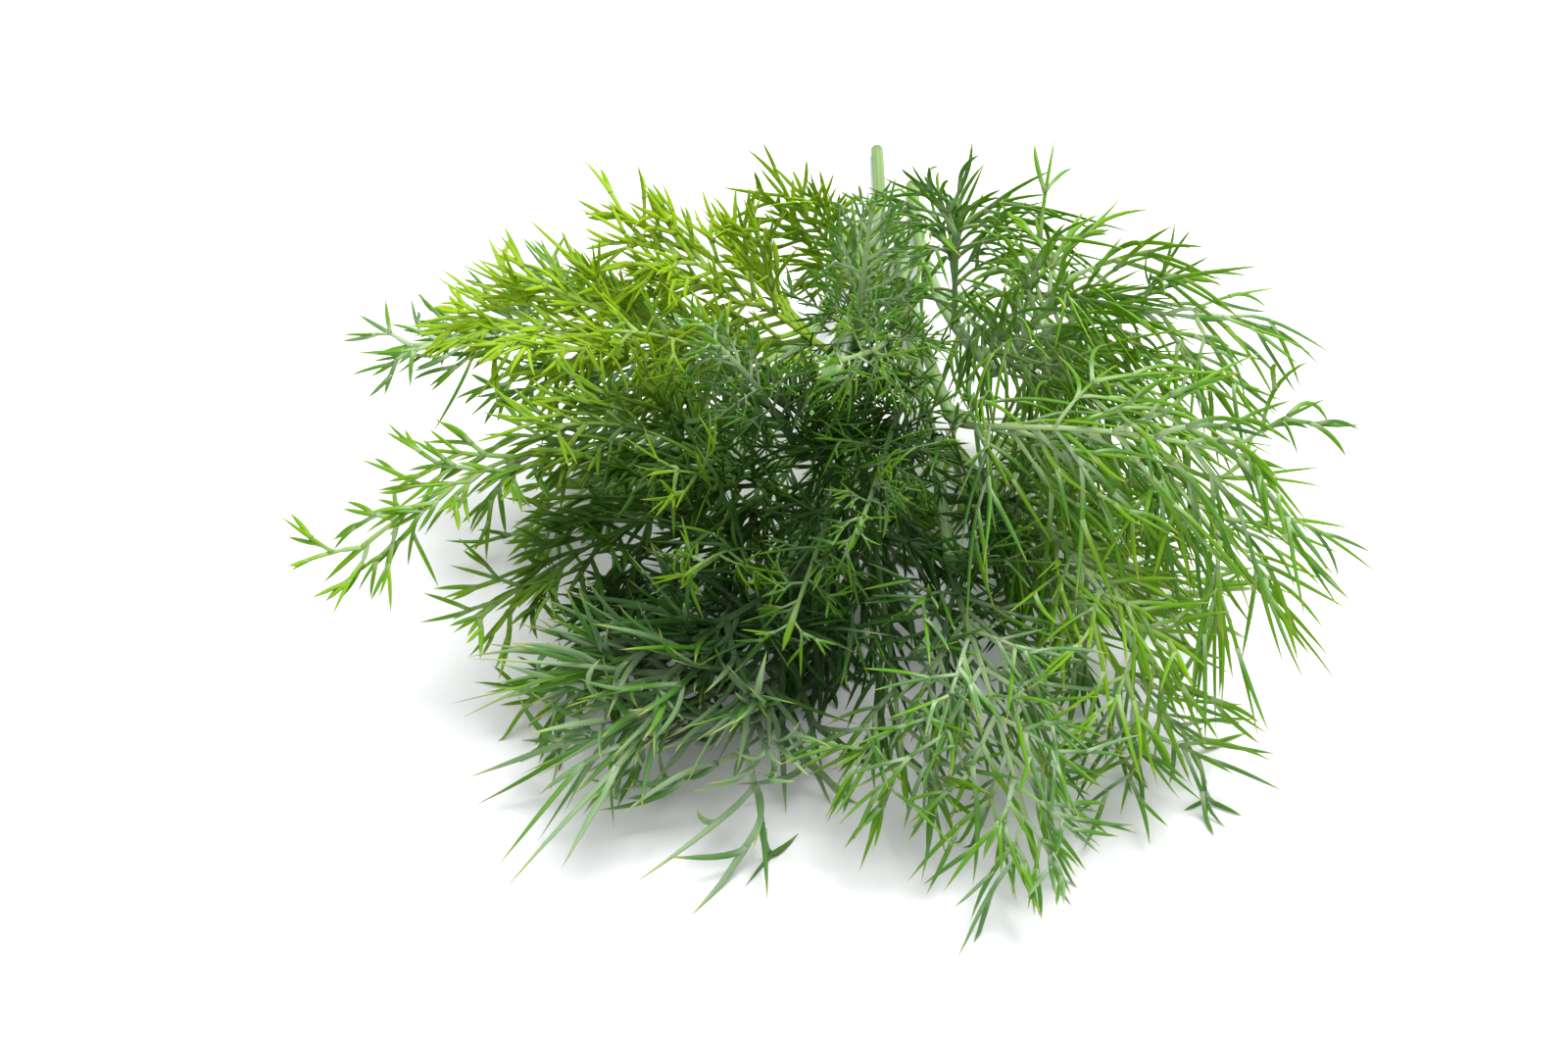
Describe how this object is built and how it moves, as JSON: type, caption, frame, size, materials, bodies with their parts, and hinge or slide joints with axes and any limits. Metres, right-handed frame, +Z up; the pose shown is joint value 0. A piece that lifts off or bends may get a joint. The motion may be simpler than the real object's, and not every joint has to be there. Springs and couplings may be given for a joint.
{
  "type": "bunch of dill",
  "caption": "Loose bunch of fresh dill lying on a surface: bare cut stems that fan out into feathery, finely divided fronds.",
  "frame": {"origin": "middle of the bunch seen from above, on the surface that it lies on", "axes": "+Y along the bunch towards the cut ends of the stems, +Z up from the surface, +X across the bunch"},
  "size_m": [0.1582, 0.2082, 0.0735],
  "materials": {
    "stem": "satin",
    "leaf": "satin"
  },
  "bodies": {
    "root": {"stem_centre": "stem", "stem_right": "stem", "stem_left": "stem", "stem_upper_right": "stem", "stem_lower_right": "stem", "stem_lower_left": "stem", "stem_middle": "stem", "frond_left_long": "leaf", "frond_left_back": "leaf", "frond_left_bright": "leaf", "frond_left_middle": "leaf", "frond_upper_left": "leaf", "frond_top_back": "leaf", "frond_top_centre": "leaf", "frond_centre_left": "leaf", "frond_centre_high": "leaf", "frond_centre_face": "leaf", "frond_centre_low": "leaf", "frond_top_right": "leaf", "frond_right_back": "leaf", "frond_right_upper": "leaf", "frond_right_long": "leaf", "frond_right_low": "leaf", "frond_right_droop": "leaf", "frond_front_fan": "leaf", "frond_front_right": "leaf", "frond_front_middle": "leaf", "frond_front_left": "leaf", "frond_front_curled": "leaf", "frond_low_left": "leaf", "frond_low_back": "leaf", "frond_under_left": "leaf", "frond_under_right": "leaf", "frond_under_middle": "leaf"}
  },
  "joints": []
}
